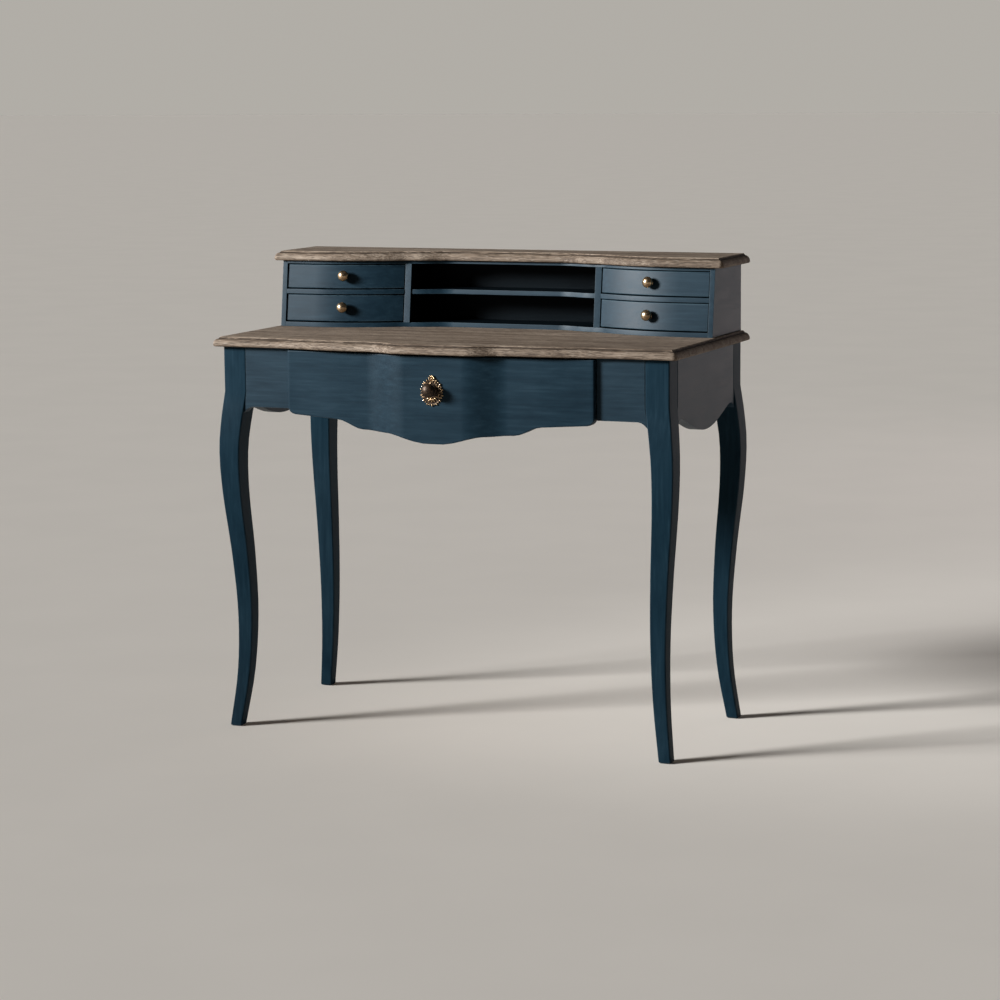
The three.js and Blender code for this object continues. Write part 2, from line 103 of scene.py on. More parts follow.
lightPlan = {
    "middleRise": 0.75,  # the lamps look at this share of the desk's height
    "keyTurn": 52,  # degrees to the left of straight on
    "keyRise": 20,
    "keyTint": (0.95, 0.98, 1.0),
    "farPower": 5.0,  # the even part of the key light
    "farSpread": 13,
    "nearPower": 8.5,  # the part that falls off across the desk and down the legs
    "nearDistance": 2.6,
    "nearSize": 0.55,
    "nearSpread": 48,
    "nearAim": (-0.05, 0.16),  # left of the middle and above the gallery: the light fades to the feet
    "fillPlace": (2.3, 4.4, 1.2),
    "fillSize": 3.0,
    "fillPower": 16,
    "fillTint": (0.98, 0.85, 0.92),
}


def hangLight(name, place, aim, size, power, tone, spread=180):  # spread in degrees
    bpy.ops.object.light_add(type="AREA", location=place)
    lamp = bpy.context.object
    lamp.name = name
    lamp.data.shape = "DISK"
    lamp.data.spread = math.radians(spread)
    lamp.data.size = size
    lamp.data.energy = power
    lamp.data.color = tone
    lamp.rotation_euler = (Vector(aim) - Vector(place)).to_track_quat("-Z", "Y").to_euler()


def hangFarLight(away):  # a sun lights the same from any distance
    plan = lightPlan
    bpy.ops.object.light_add(type="SUN", location=away)
    lamp = bpy.context.object
    lamp.name = "farKeyLight"
    lamp.data.energy = plan["farPower"]
    lamp.data.angle = math.radians(plan["farSpread"])
    lamp.data.color = plan["keyTint"]
    lamp.rotation_euler = away.to_track_quat("Z", "Y").to_euler()


def lightRoom():
    plan = lightPlan
    middle = Vector((0, 0, deskHigh.z * plan["middleRise"]))
    turn = math.radians(plan["keyTurn"])
    rise = math.radians(plan["keyRise"])
    level = math.cos(rise)
    away = Vector((-math.sin(turn) * level, -math.cos(turn) * level, math.sin(rise)))
    hangFarLight(away)
    near = middle + away * plan["nearDistance"]
    aimLeft, aimAbove = plan["nearAim"]
    aim = Vector((aimLeft, 0, deskHigh.z + aimAbove))
    lamp = (plan["nearSize"], plan["nearPower"], plan["keyTint"], plan["nearSpread"])
    hangLight("nearKeyLight", near, aim, *lamp)
    lamp = (plan["fillSize"], plan["fillPower"], plan["fillTint"])
    hangLight("fillLight", plan["fillPlace"], middle, *lamp)
    bpy.context.scene.view_settings.view_transform = "Standard"
    print("lights hung")


# ---- material arithmetic ----
class Signal:  # one socket of a material, so that masks are written as plain sums
    def __init__(self, tree, socket):
        self.tree = tree
        self.socket = socket

    # makes any node: its settings first, then the values or links of its sockets
    def node(self, kind, settings=None, inputs=None, output=0):
        made = self.tree.nodes.new(kind)
        for key, value in (settings or {}).items():
            setattr(made, key, value)
        for key, value in (inputs or {}).items():
            if isinstance(value, Signal):
                self.tree.links.new(value.socket, made.inputs[key])
            else:
                made.inputs[key].default_value = value
        return None if output is None else Signal(self.tree, made.outputs[output])

    def maths(self, operation, first, second=0.0):
        return self.node("ShaderNodeMath", {"operation": operation}, {0: first, 1: second})

    def __add__(self, other):
        return self.maths("ADD", self, other)

    def __radd__(self, other):
        return self.maths("ADD", other, self)

    def __sub__(self, other):
        return self.maths("SUBTRACT", self, other)

    def __rsub__(self, other):
        return self.maths("SUBTRACT", other, self)

    def __mul__(self, other):
        return self.maths("MULTIPLY", self, other)

    def __rmul__(self, other):
        return self.maths("MULTIPLY", other, self)

    def between(self, low, high):  # 0 below low, 1 above high
        limits = {"Value": self, "From Min": low, "From Max": high}
        return self.node("ShaderNodeMapRange", {"interpolation_type": "SMOOTHSTEP"}, limits)

    # this signal slides from the first colour to the second; sockets 6, 7 and 2 are the colour ones
    def mixed(self, first, second):
        colours = {0: self, 6: colour(first), 7: colour(second)}
        return self.node("ShaderNodeMix", {"data_type": "RGBA"}, colours, 2)


def colour(value):
    return value if isinstance(value, Signal) else (*value, 1)


def startFinish(name):
    material = bpy.data.materials.new(name)
    material.use_nodes = True
    tree = material.node_tree
    tree.nodes.clear()
    start = Signal(tree, None)
    place = start.node("ShaderNodeTexCoord", output="Object")
    return material, start, place


def closeFinish(material, start, parts, bump, depth, strength):
    relief = {"Strength": strength, "Distance": depth, "Height": bump}
    normal = start.node("ShaderNodeBump", None, relief)
    shader = start.node("ShaderNodeBsdfPrincipled", None, {**parts, "Normal": normal})
    start.node("ShaderNodeOutputMaterial", None, {"Surface": shader}, None)
    return material


roomPlan = {
    "behind": (0.44, 0.42, 0.385),  # as bright as the far floor, so that no skyline shows
    "around": (0.030, 0.029, 0.028),
    "wallFade": (-0.15, 0.35),  # the wall comes in between these, looking from side to back
    "wallTop": (0.12, 0.45),
}


def paintRoom():  # a pale wall behind the desk, and a dark studio above it and on the sitter's side
    plan = roomPlan
    room = bpy.data.worlds.new("room")
    room.use_nodes = True
    room.node_tree.nodes.clear()
    start = Signal(room.node_tree, None)
    look = start.node("ShaderNodeTexCoord", output="Object")
    depth = start.node("ShaderNodeSeparateXYZ", None, {0: look}, "Y")
    rise = start.node("ShaderNodeSeparateXYZ", None, {0: look}, "Z")
    wall = depth.between(*plan["wallFade"]) * (1 - rise.between(*plan["wallTop"]))
    tone = wall.mixed(plan["around"], plan["behind"])
    glow = start.node("ShaderNodeBackground", None, {"Color": tone})
    start.node("ShaderNodeOutputWorld", None, {"Surface": glow}, None)
    bpy.context.scene.world = room
    print("room painted")


def noise(place, scale=1.0, detail=3.0, rough=0.55, swirl=0.0):
    inputs = {"Vector": place, "Scale": scale, "Detail": detail, "Roughness": rough, "Distortion": swirl}
    return place.node("ShaderNodeTexNoise", None, inputs)


grainAxis = {"X": 0, "Y": 1, "Z": 2}


# noise drawn out along the grain; cells says how many fall in a metre along it and across it
def grainNoise(place, grain, cells, detail=3.0, rough=0.55, swirl=0.0):
    along, across = cells
    scale = [across] * 3
    scale[grainAxis[grain]] = along
    drawn = place.node("ShaderNodeMapping", {"vector_type": "POINT"}, {"Vector": place, "Scale": scale})
    return noise(drawn, 1.0, detail, rough, swirl)


def swayed(place, wander, amount):  # the place moved about by a slow noise, so that grain lines wander
    parts = {0: wander, 1: amount, 2: place}
    return place.node("ShaderNodeVectorMath", {"operation": "MULTIPLY_ADD"}, parts)


# ---- finishes ----
paintTones = {
    "deep": (0.0032, 0.0128, 0.0215),
    "body": (0.0062, 0.0200, 0.0315),
    "chalk": (0.0125, 0.0310, 0.0455),
    # wear and painted highlight: the paler tone of the rounded edges
    "rubbedAndHighlit": (0.040, 0.062, 0.075),
    "roughness": 0.46,
    "shine": 0.16,
}

paintMarks = {
    "broad": 6,  # clouds in a metre
    "mottle": (9, 34),  # marks in a metre, along and across the grain
    "brush": (8, 170),
    "fine": (24, 800),
    "pores": (34, 1500),
    "shares": {"brush": 0.34, "fine": 0.14, "broad": 0.22, "mottle": 0.30},
    "deepToBody": (0.36, 0.56),
    "bodyToChalk": (0.50, 0.76),
    # where the paler edge tone, wear and painted highlight, comes in
    "worn": (1.08, 1.25),
    "poreDepth": 0.25,
    "relief": (0.0005, 0.2),  # metres, then how strongly it shows
}


def tint(value, shade):  # a tone made deeper; plain numbers stay as they are
    return tuple(part * shade for part in value) if isinstance(value, tuple) else value


def paintedWood(name, grain, wearAndHighlight=0.0, shade=1.0, shine=paintTones["shine"]):
    material, start, place = startFinish(name)
    tones = {key: tint(value, shade) for key, value in paintTones.items()}
    marks = paintMarks
    shares = marks["shares"]
    broad = noise(place, marks["broad"], 3, 0.5)
    mottle = grainNoise(place, grain, marks["mottle"], 4, 0.62, 0.6)
    brush = grainNoise(place, grain, marks["brush"], 4, 0.62)
    fine = grainNoise(place, grain, marks["fine"], 3, 0.6)
    pores = grainNoise(place, grain, marks["pores"], 2, 0.5).between(0.60, 0.70)
    tone = brush * shares["brush"] + fine * shares["fine"]
    tone = tone + broad * shares["broad"] + mottle * shares["mottle"]
    base = tone.between(*marks["deepToBody"]).mixed(tones["deep"], tones["body"])
    brushed = tone + (brush - 0.5) * 0.25
    base = brushed.between(*marks["bodyToChalk"]).mixed(base, tones["chalk"])
    base = (pores * marks["poreDepth"]).mixed(base, tones["deep"])
    # more rubbing bares more of the edge; the paler edge is partly wear and partly a painted highlight
    # where the rounding catches the light
    litWearFrom, litWearTo = (limit - 0.5 * wearAndHighlight for limit in marks["worn"])
    base = ((fine + brush).between(litWearFrom, litWearTo) * wearAndHighlight).mixed(base, tones["rubbedAndHighlit"])
    roughness = tones["roughness"] + (tone - 0.5) * 0.35 + pores * 0.08
    height = brush * 0.5 + fine * 0.3 - pores * 0.4
    parts = {"Base Color": base, "Roughness": roughness, "Specular IOR Level": shine}
    return closeFinish(material, start, parts, height, *marks["relief"])


oakTones = {
    "dark": (0.086, 0.059, 0.041),
    "mid": (0.174, 0.127, 0.091),
    "light": (0.262, 0.203, 0.154),
    "lime": (0.40, 0.34, 0.28),
    "pore": (0.034, 0.022, 0.014),
    "roughness": 0.7,
    "shine": 0.2,
}

oakMarks = {
    "wander": (3, 9),  # marks in a metre, along and across the grain
    "sway": (0, 0.03, 0.03),  # metres that the growth rings wander
    "bands": (2.2, 48),
    "rings": (4, 120),
    "streaks": (13, 320),
    "pores": (60, 700),
    "flecks": (60, 500),
    # clouds of dark glaze; in the moulding's step this is a painted shade
    "glazeAndShade": (30, 300),
    "shares": {"bands": 0.26, "rings": 0.28, "streaks": 0.46},
    "darkToMid": (0.42, 0.50),
    "midToLight": (0.49, 0.58),
    "poreDepth": 0.7,
    "relief": (0.0008, 0.45),
}


def limedOak(name, grain, worn=0.0, glazeAndShade=0.0):
    material, start, place = startFinish(name)
    tones = oakTones
    marks = oakMarks
    shares = marks["shares"]
    wander = grainNoise(place, grain, marks["wander"], 2, 0.5)
    swung = swayed(place, wander, marks["sway"])
    bands = grainNoise(swung, grain, marks["bands"], 3, 0.55)
    rings = grainNoise(swung, grain, marks["rings"], 4, 0.6)
    streaks = grainNoise(place, grain, marks["streaks"], 4, 0.7)
    pores = grainNoise(place, grain, marks["pores"], 2, 0.5).between(0.53, 0.62)
    tone = bands * shares["bands"] + rings * shares["rings"] + streaks * shares["streaks"]
    base = tone.between(*marks["darkToMid"]).mixed(tones["dark"], tones["mid"])
    base = tone.between(*marks["midToLight"]).mixed(base, tones["light"])
    flecks = (grainNoise(place, grain, marks["flecks"], 3, 0.62) + worn * 0.10).between(0.60, 0.74)
    base = (flecks * (0.30 + 0.45 * worn)).mixed(base, tones["lime"])
    base = (pores * marks["poreDepth"]).mixed(base, tones["pore"])
    # dark glaze pools in the grain; at full strength in the step it is a painted shade
    pooled = grainNoise(place, grain, marks["glazeAndShade"], 3, 0.6).between(0.30, 0.52)
    base = (glazeAndShade * pooled).mixed(base, tones["pore"])
    roughness = tones["roughness"] + (streaks - 0.5) * 0.25
    height = streaks * 0.5 + rings * 0.4 - pores * 0.8
    parts = {"Base Color": base, "Roughness": roughness, "Specular IOR Level": tones["shine"]}
    return closeFinish(material, start, parts, height, *marks["relief"])


pineFinish = {
    "late": (0.34, 0.215, 0.11),
    "early": (0.50, 0.36, 0.215),
    "roughness": 0.6,
    "wander": (2, 8),
    "sway": (0.02, 0.02, 0.02),
    "rings": (1.5, 85),
    "fibres": (30, 1200),
    "earlyToLate": (0.42, 0.60),
    "relief": (0.0005, 0.3),
}


def plainPine(name, grain):
    material, start, place = startFinish(name)
    plan = pineFinish
    wander = grainNoise(place, grain, plan["wander"], 2, 0.5)
    swung = swayed(place, wander, plan["sway"])
    rings = grainNoise(swung, grain, plan["rings"], 2, 0.5)
    fibres = grainNoise(place, grain, plan["fibres"], 3, 0.6)
    late = (rings * 0.8 + fibres * 0.2).between(*plan["earlyToLate"])
    parts = {
        "Base Color": late.mixed(plan["early"], plan["late"]),
        "Roughness": plan["roughness"] + (fibres - 0.5) * 0.2,
    }
    return closeFinish(material, start, parts, fibres + rings * 0.3, *plan["relief"])


brassFinish = {
    "bright": (0.60, 0.43, 0.26),
    "brown": (0.15, 0.080, 0.038),
    "black": (0.018, 0.011, 0.007),
    "roughness": 0.24,
    "clouds": 260,  # in a metre
    "specks": 1300,
    "relief": (0.0003, 0.25),
}


def agedBrass(name, age):  # age 0 is rubbed bright, above 1 nearly black
    material, start, place = startFinish(name)
    plan = brassFinish
    cloud = noise(place, plan["clouds"], 4, 0.6)
    speck = noise(place, plan["specks"], 3, 0.6)
    patina = (cloud * 0.7 + speck * 0.3).between(0.62 - 0.30 * age, 0.74 - 0.18 * age)
    base = patina.mixed(plan["bright"], plan["brown"])
    base = (speck * age).between(0.40, 0.62).mixed(base, plan["black"])
    roughness = plan["roughness"] + patina * 0.22 + (speck - 0.5) * 0.1
    parts = {"Base Color": base, "Metallic": 1.0 - patina * 0.35, "Roughness": roughness}
    return closeFinish(material, start, parts, cloud + speck * 0.4, *plan["relief"])


coats = {
    "legPaintedShade": 0.95,  # painted shade: the legs' paint is made a little deeper for the dimmer light low down, and flatter
    "legShine": 0.04,
    "frontPaintedShade": 0.92,  # painted shade: the wide drawer's front is painted a little deeper to sit darker in the light, and is less shiny
    "frontShine": 0.10,
    "pigeonholePaintedShade": 0.12,  # painted shade: the pigeonholes' inner faces are painted nearly black to stand for the shade deep in them
    "insideShine": 0.05,
    # wear and painted highlight on the rounded edges
    "edgeWearAndHighlight": 0.5,
    "legEdgeWearAndHighlight": 0.4,
}
onShadedLegs = (coats["legPaintedShade"], coats["legShine"])
onShadedFront = (coats["frontPaintedShade"], coats["frontShine"])
# painted shade for the pigeonholes' insides: a near-black, flat paint
inside = (coats["pigeonholePaintedShade"], coats["insideShine"])

paint = {grain: paintedWood("paint" + grain, grain) for grain in "XY"}
# edge paint: paler with wear and with a painted highlight where edges catch the light
paintEdgeWornAndLit = {grain: paintedWood("paintEdgeWornAndLit" + grain, grain, coats["edgeWearAndHighlight"]) for grain in "XY"}
# painted shade: the legs take a slightly deeper paint
paint["Z"] = paintedWood("paintZ", "Z", 0.0, *onShadedLegs)
paintEdgeWornAndLit["Z"] = paintedWood("paintEdgeWornAndLitZ", "Z", coats["legEdgeWearAndHighlight"], *onShadedLegs)
# painted shade: a deeper, less shiny paint for the wide drawer's front
paint["front"] = paintedWood("paintFrontShaded", "X", 0.0, *onShadedFront)
paintEdgeWornAndLit["front"] = paintEdgeWornAndLit["X"]
# painted shade: near-black paint on the pigeonholes' inner faces
paintedShadeInside = paintedWood("paintedShadeInside", "X", 0.0, *inside)
oak = limedOak("oak", "X")
oakEdge = limedOak("oakEdge", "X", worn=0.3)
oakNose = limedOak("oakNose", "X", worn=0.35, glazeAndShade=0.25)
# painted shade: the moulding's step is glazed fully dark for the shadow in it
oakStepShade = limedOak("oakStepShade", "X", glazeAndShade=1.0)
pine = {grain: plainPine("pine" + grain, grain) for grain in "XYZ"}
brassBright = agedBrass("brassBright", 0.35)
brassBrown = agedBrass("brassBrown", 0.8)
brassDark = agedBrass("brassDark", 1.3)
print("finishes mixed")


# ---- bench tools ----
def makeActive(piece):
    for thing in bpy.context.view_layer.objects:
        thing.select_set(False)
    piece.select_set(True)
    bpy.context.view_layer.objects.active = piece


# opens the piece in edit mode, with only the faces, edges or points that pass the test picked
def pickParts(piece, kind, test):
    makeActive(piece)
    bpy.ops.object.mode_set(mode="EDIT")
    bpy.ops.mesh.select_mode(type=kind)
    bpy.ops.mesh.select_all(action="DESELECT")
    bpy.ops.object.mode_set(mode="OBJECT")
    parts = {"FACE": piece.data.polygons, "EDGE": piece.data.edges, "VERT": piece.data.vertices}[kind]
    for part in parts:
        part.select = test(part)
    bpy.ops.object.mode_set(mode="EDIT")


def cleanMesh(piece, merge=0.01 * mm):
    pickParts(piece, "VERT", lambda point: True)
    bpy.ops.mesh.select_all(action="SELECT")
    bpy.ops.mesh.remove_doubles(threshold=merge)
    bpy.ops.mesh.normals_make_consistent(inside=False)
    bpy.ops.object.mode_set(mode="OBJECT")


def roundEdges(piece, width, segments, edgeSlot, angle):
    makeActive(piece)
    bevel = piece.modifiers.new("softEdge", "BEVEL")
    bevel.width = width
    bevel.segments = segments
    bevel.limit_method = "ANGLE"
    bevel.angle_limit = math.radians(angle)
    bevel.material = edgeSlot
    bpy.ops.object.modifier_apply(modifier=bevel.name)


def settle(piece, smooth):  # the piece's place goes into its mesh
    makeActive(piece)
    bpy.ops.object.transform_apply(location=True, rotation=True, scale=True)
    bpy.ops.object.shade_smooth_by_angle(angle=math.radians(smooth))
    # wide faces keep their own flat shading
    weigh = piece.modifiers.new("flatFaces", "WEIGHTED_NORMAL")
    weigh.keep_sharp = True
    bpy.ops.object.modifier_apply(modifier=weigh.name)


def fitPiece(piece, node, *others):  # the piece stands for the node and moves with its body
    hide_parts(node, *others)
    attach(piece, bodyOf[node])


def copyPiece(piece, name):
    twin = bpy.data.objects.new(name, piece.data.copy())
    bpy.context.scene.collection.objects.link(twin)
    return twin


# ---- wooden pieces, taken from the CAD and given soft edges ----
woodWork = {
    "softEdge": 0.7 * mm,
    "boardEdge": 0.4 * mm,
    "boxEdge": 0.5 * mm,
    "edgeSteps": 2,
    "sharpest": 30,  # degrees: gentler edges than this aren't rounded
    "smoothBelow": 35,
    "flatWithin": 0.2,
    "quadFlat": 15,
    "quadShape": 60,
    "frontFrom": 0.5,  # faces that look forward at least this much are front faces
    "upright": "leg_",
    "alongY": (
        "apron_left",
        "apron_right",
        "gallery_side",
        "gallery_divider",
        "drawer_runner",
        "drawer_kicker",
    ),
}

finished = {}  # CAD node name to the piece that stands for it


def grainOf(node):
    if node.startswith(woodWork["upright"]):
        return "Z"
    deep = node.startswith(woodWork["alongY"]) or "_side" in node
    return "Y" if deep else "X"


def woodLooks(node):
    grain = grainOf(node)
    coat = "front" if node == "main_drawer_front" else grain
    looks = {
        "painted_wood": (paint[coat], paintEdgeWornAndLit[coat], woodWork["softEdge"]),
        "oak": (oak, oakEdge, woodWork["boardEdge"]),
        "drawer_wood": (pine[grain], pine[grain], woodWork["boxEdge"]),
    }
    return looks[slotOf[node]]


mouldingWork = {"noseTop": 14.4 * mm, "stepTop": 17.6 * mm, "underside": -0.9}


def glazeAndShadeMoulding(piece):  # painted shade: a dark glaze in the step stands for the shadow in that groove; pale wax catches on the nosing
    bottom = min(point.co.z for point in piece.data.vertices)
    for look in (oakNose, oakStepShade):
        piece.data.materials.append(look)
    for face in piece.data.polygons:
        rise = face.center.z - bottom
        # painted shade: the step's faces take the dark glaze
        if mouldingWork["noseTop"] < rise < mouldingWork["stepTop"]:
            face.material_index = 3
        elif rise < mouldingWork["noseTop"] and face.normal.z > mouldingWork["underside"]:
            face.material_index = 2


pigeonholeNodes = (
    "gallery_back",
    "gallery_floor",
    "gallery_top_panel",
    "gallery_divider",
    "pigeonhole_shelf",
)


def paintShadeInside(piece, node):  # painted shade: the pigeonholes' inner faces take a near-black paint for the shade in them; front edges keep the paint, and only the back panel is dark on its front
    piece.data.materials.append(paintedShadeInside)
    limit = woodWork["frontFrom"]
    for face in piece.data.polygons:
        forward = face.normal.y < -limit
        if forward == (node == "gallery_back") and face.normal.y < limit:
            face.material_index = 2


def dressWood(node):
    face, edge, width = woodLooks(node)
    piece = copyPiece(frame["nodes"][node], node + "_finished")
    piece.data.materials.clear()
    piece.data.materials.append(face)
    piece.data.materials.append(edge)
    makeActive(piece)
    bpy.ops.mesh.customdata_custom_splitnormals_clear()
    cleanMesh(piece)
    bpy.ops.object.mode_set(mode="EDIT")
    bpy.ops.mesh.select_all(action="SELECT")
    bpy.ops.mesh.dissolve_limited(angle_limit=math.radians(woodWork["flatWithin"]))
    bpy.ops.mesh.tris_convert_to_quads(
        face_threshold=math.radians(woodWork["quadFlat"]),
        shape_threshold=math.radians(woodWork["quadShape"]),
    )
    bpy.ops.object.mode_set(mode="OBJECT")
    roundEdges(piece, width, woodWork["edgeSteps"], 1, woodWork["sharpest"])
    settle(piece, woodWork["smoothBelow"])
    if slotOf[node] == "oak":
        glazeAndShadeMoulding(piece)
    if node.startswith(pigeonholeNodes):
        paintShadeInside(piece, node)
    fitPiece(piece, node)
    finished[node] = piece


def dressAllWood():
    nodes = [node for node in frame["nodes"] if slotOf[node] != "brass"]
    for node in nodes:
        dressWood(node)
    print("wooden pieces finished:", len(nodes))


# ---- turned brass ----
def turnPiece(name, profile, steps):  # profile is (radius, height) from the foot to the crown
    makeActive(bpy.context.scene.camera)
    bpy.ops.mesh.primitive_plane_add(size=mm)
    piece = bpy.context.object
    piece.name = name
    bpy.ops.object.mode_set(mode="EDIT")
    bpy.ops.mesh.select_all(action="SELECT")
    bpy.ops.mesh.merge(type="CENTER")
    last = Vector((profile[0][0], 0, profile[0][1]))
    bpy.ops.transform.translate(value=last)
    for radius, height in profile[1:]:
        step = Vector((radius, 0, height)) - last
        bpy.ops.mesh.extrude_vertices_move(TRANSFORM_OT_translate={"value": step})
        last = last + step
    bpy.ops.mesh.select_all(action="SELECT")
    bpy.ops.mesh.spin(steps=steps, angle=fullTurn, center=(0, 0, 0), axis=(0, 0, 1))
    bpy.ops.object.mode_set(mode="OBJECT")
    cleanMesh(piece)
    return piece


headArc = {"from": -50, "to": 90, "step": 14}  # degrees up the side of a knob's head
knobSmooth = 60  # degrees: only sharper turns than this keep a hard line


def headPoints(radius, depth, middle):
    turns = range(headArc["from"], headArc["to"], headArc["step"])
    angles = [math.radians(turn) for turn in turns]
    return [(radius * math.cos(angle), middle + depth * math.sin(angle)) for angle in angles]


smallKnob = {
    "roseRadius": 7.2 * mm,
    "roseHeight": 1.6 * mm,
    "roseShape": ((1, 0), (1, 0.5), (0.9, 1), (0.7, 1.15)),  # shares of its radius and height
    "neckRadius": 3.6 * mm,
    "neckShape": ((1.25, 1.3), (1, 1.8), (1.1, 2.3)),  # shares of the neck's radius and rose's height
    "headRadius": 10.8 * mm,
    "headDepth": 8.0 * mm,
    "reach": 18 * mm,
    "steps": 32,
}


def smallKnobProfile():
    size = smallKnob
    height = size["roseHeight"]
    profile = [(0, 0)]
    profile += [(size["roseRadius"] * out, height * up) for out, up in size["roseShape"]]
    profile += [(size["neckRadius"] * out, height * up) for out, up in size["neckShape"]]
    middle = size["reach"] - size["headDepth"]
    profile += headPoints(size["headRadius"], size["headDepth"], middle)
    profile.append((0, size["reach"]))
    return profile


def seatOf(node, front):  # where a knob meets its drawer front, and which way the front faces there
    low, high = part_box(node)
    bpy.context.view_layer.update()
    found, place, facing, face = finished[front].closest_point_on_mesh((low + high) / 2)
    return place, facing


def fitKnobs():
    model = turnPiece("knobModel", smallKnobProfile(), smallKnob["steps"])
    model.data.materials.append(brassBright)
    for node in sorted(n for n in frame["nodes"] if n.endswith("_drawer_knob")):
        place, facing = seatOf(node, node.replace("_knob", "_front"))
        knob = copyPiece(model, node + "_turned")
        knob.location = place
        knob.rotation_euler = facing.to_track_quat("Z", "Y").to_euler()
        settle(knob, knobSmooth)
        fitPiece(knob, node)
    bpy.data.objects.remove(model)
    print("four small knobs turned and fitted")


# ---- the ornate pull on the wide drawer ----
pullSize = {
    "halfWidth": 24 * mm,
    "halfHeight": 26.5 * mm,
    "drop": 2 * mm,  # the oval hangs this far below the middle, to leave room for the crest
    "ground": 1.6 * mm,
    "groundShare": (0.86, 0.87),  # the ground stops this far out, under the rim
    "groundSteps": 64,
    "border": 1.6 * mm,
    "dish": (1.2 * mm, -0.7 * mm),
    "smooth": 50,
}


def plateGround():
    size = pullSize
    wide, high = size["groundShare"]
    makeActive(bpy.context.scene.camera)
    bpy.ops.mesh.primitive_circle_add(vertices=size["groundSteps"], radius=1, fill_type="NGON")
    ground = bpy.context.object
    ground.name = "plateGround"
    ground.scale = (size["halfWidth"] * wide, size["halfHeight"] * high, 1)
    ground.location.y = -size["drop"]
    bpy.ops.object.transform_apply(location=True, rotation=True, scale=True)
    bpy.ops.object.mode_set(mode="EDIT")
    bpy.ops.mesh.select_all(action="SELECT")
    bpy.ops.mesh.extrude_region_move(TRANSFORM_OT_translate={"value": (0, 0, size["ground"])})
    bpy.ops.mesh.inset(thickness=size["border"], depth=0)
    bpy.ops.mesh.inset(thickness=size["dish"][0], depth=size["dish"][1])
    bpy.ops.object.mode_set(mode="OBJECT")
    cleanMesh(ground)
    ground.data.materials.append(brassDark)
    return ground


def ringPlace(turn, inset, rise):  # a place this far in from the plate's oval edge
    size = pullSize
    across = (size["halfWidth"] - inset) * math.cos(turn)
    up = (size["halfHeight"] - inset) * math.sin(turn) - size["drop"]
    return Vector((across, up, rise))


def setDown(model, name, place, turn, size=(1, 1, 1)):
    twin = copyPiece(model, name)
    twin.location = place
    twin.rotation_euler = (0, 0, turn)
    twin.scale = size
    return twin


beadShape = {"radius": 1.9 * mm, "segments": 10, "rings": 6, "cut": -0.3}  # cut below the middle, flat


def beadModel():
    shape = beadShape
    radius = shape["radius"]
    makeActive(bpy.context.scene.camera)
    bpy.ops.mesh.primitive_uv_sphere_add(
        segments=shape["segments"], ring_count=shape["rings"], radius=radius
    )
    bead = bpy.context.object
    bead.name = "beadModel"
    low = (0, 0, shape["cut"] * radius)
    bpy.ops.object.mode_set(mode="EDIT")
    bpy.ops.mesh.select_all(action="SELECT")
    bpy.ops.mesh.bisect(plane_co=low, plane_no=(0, 0, 1), use_fill=True, clear_inner=True)
    bpy.ops.object.mode_set(mode="OBJECT")
    bead.data.materials.append(brassBright)
    return bead


rim = {
    "petals": 28,
    "high": {"inset": 2.6 * mm, "size": (0.85, 1.5, 1.1)},  # high and low petals take turns
    "low": {"inset": 3.2 * mm, "size": (0.65, 1.0, 0.8)},
    "sunk": 0.6,  # how far up the ground's edge they sit
}


def rimParts(bead):
    parts = []
    for index in range(rim["petals"]):
        turn = fullTurn * index / rim["petals"]
        petal = rim["high"] if index % 2 else rim["low"]
        place = ringPlace(turn, petal["inset"], pullSize["ground"] * rim["sunk"])
        parts.append(setDown(bead, f"rimPetal{index}", place, turn - math.pi / 2, petal["size"]))
    return parts


crest = {
    "foot": 2.5 * mm,  # below the oval's top edge
    "lean": 34,  # degrees between petals
    "petals": range(-2, 3),
    "reach": (5.2 * mm, 5.6 * mm),
    "petalSize": (0.75, 1.5, 0.95),
    "heartRise": 1 * mm,
    "heartSize": (1.2, 1.2, 1.2),
}


def crestParts(bead):
    rise = pullSize["ground"]
    foot = pullSize["halfHeight"] - pullSize["drop"] - crest["foot"]
    across, up = crest["reach"]
    parts = []
    for petal in crest["petals"]:
        lean = math.radians(crest["lean"] * petal)
        place = Vector((math.sin(lean) * across, foot + math.cos(lean) * up, rise))
        parts.append(setDown(bead, f"crest{petal}", place, -lean, crest["petalSize"]))
    heart = Vector((0, foot + crest["heartRise"], rise))
    parts.append(setDown(bead, "crestHeart", heart, 0, crest["heartSize"]))
    return parts


bloom = {
    "leaves": range(-3, 4),
    "leafLean": 27,
    "leafFrom": -8.5 * mm,
    "leafReach": (9.5 * mm, 9 * mm),
    "leafSize": (0.8, 2.0, 1.3),
    "flowerAt": -14.2 * mm,
    "petals": 6,
    "petalFirst": 30,  # degrees
    "petalReach": 2.7 * mm,
    "petalSize": (0.75, 1.0, 1.6),
    "heartSize": (0.8, 0.8, 2.2),
}


def bloomParts(bead):  # leaves spread under the knob, round a small flower
    rise = pullSize["ground"]
    across, down = bloom["leafReach"]
    parts = []
    for leaf in bloom["leaves"]:
        lean = math.radians(bloom["leafLean"] * leaf)
        place = Vector((math.sin(lean) * across, bloom["leafFrom"] - math.cos(lean) * down, rise))
        parts.append(setDown(bead, f"leaf{leaf}", place, lean, bloom["leafSize"]))
    flower = Vector((0, bloom["flowerAt"], rise))
    for petal in range(bloom["petals"]):
        turn = fullTurn * petal / bloom["petals"] + math.radians(bloom["petalFirst"])
        place = flower + Vector((math.cos(turn), math.sin(turn), 0)) * bloom["petalReach"]
        parts.append(setDown(bead, f"flower{petal}", place, turn - math.pi / 2, bloom["petalSize"]))
    parts.append(setDown(bead, "flowerHeart", flower, 0, bloom["heartSize"]))
    return parts


